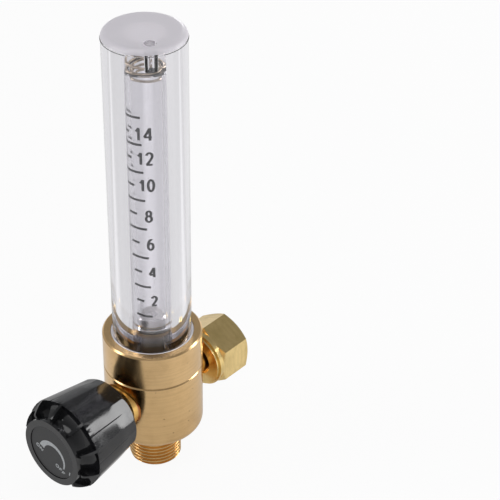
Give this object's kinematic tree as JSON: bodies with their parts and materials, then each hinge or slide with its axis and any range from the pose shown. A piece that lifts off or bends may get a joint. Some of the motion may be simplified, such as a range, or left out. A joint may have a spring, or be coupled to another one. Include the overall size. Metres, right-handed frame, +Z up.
{
  "type": "gas flowmeter valve",
  "caption": "Inline gas flowmeter: brass valve body with a union-nut inlet, threaded outlet and lobed needle-valve knob, under a clear metering tube with a float and printed scale.",
  "frame": {"origin": "centre of the outlet's lower end face, on the axis of the outlet thread and of the tube", "axes": "+Z up the metering tube, -Y out of the knob's face, +Y out of the inlet's union nut"},
  "size_m": [0.0312, 0.0798, 0.1536],
  "materials": {
    "brass_body": "satin turned",
    "brass_fitting": "bright turned",
    "brass_inner": "turned",
    "brass_nut": "satin turned and milled",
    "sintered_bronze": "sintered",
    "white_washer": "satin",
    "copper_washer": "annealed copper, dull",
    "clear_outer": "polished",
    "clear_inner": "polished",
    "black_rubber": "matte",
    "steel_float": "turned",
    "spring_steel": "drawn wire",
    "zinc_screw": "zinc plated",
    "black_moulding": "semi-gloss moulded",
    "grey_label": "satin printed"
  },
  "bodies": {
    "housing": {"body": "brass_body", "tube_collar": "brass_body", "collar_washer": "white_washer", "outer_tube": "clear_outer", "outer_tube_seal": "black_rubber", "float_seat": "brass_inner", "metering_tube_seal": "black_rubber", "metering_tube": "clear_inner", "tube_spring": "spring_steel", "bonnet_seal": "copper_washer", "valve_bonnet": "brass_fitting", "stem_packing": "white_washer", "gland_nut": "brass_fitting", "nipple_seal": "copper_washer", "inlet_nipple": "brass_fitting", "inlet_filter": "sintered_bronze", "filter_ring": "spring_steel"},
    "float": {"float_bobbin": "steel_float"},
    "stem_slide": {"stem_seal": "black_rubber"},
    "spindle": {"valve_stem": "brass_inner", "knob": "black_moulding", "knob_label": "grey_label", "knob_screw": "zinc_screw"},
    "union_nut": {"inlet_nut": "brass_nut"}
  },
  "joints": [
    {"name": "float_slide", "type": "slide", "parent": "housing", "child": "float", "axis": [0, 0, 1], "range_m": [0, 0.08]},
    {"name": "stem_travel", "type": "slide", "parent": "housing", "child": "stem_slide", "axis": [0, -1, 0], "range_m": [0, 0.0016]},
    {"name": "knob_turn", "type": "hinge", "parent": "stem_slide", "child": "spindle", "pos_m": [0, -0.03, 0.0282], "axis": [0, -1, 0], "range_deg": [0, 720]},
    {"name": "inlet_nut_spin", "type": "hinge", "parent": "housing", "child": "union_nut", "pos_m": [0, 0.0254, 0.0254], "axis": [0, 1, 0], "continuous": true}
  ],
  "couplings": [
    {"joint": "stem_travel", "follows": "knob_turn", "m_per_rad": 0.00011937}
  ]
}
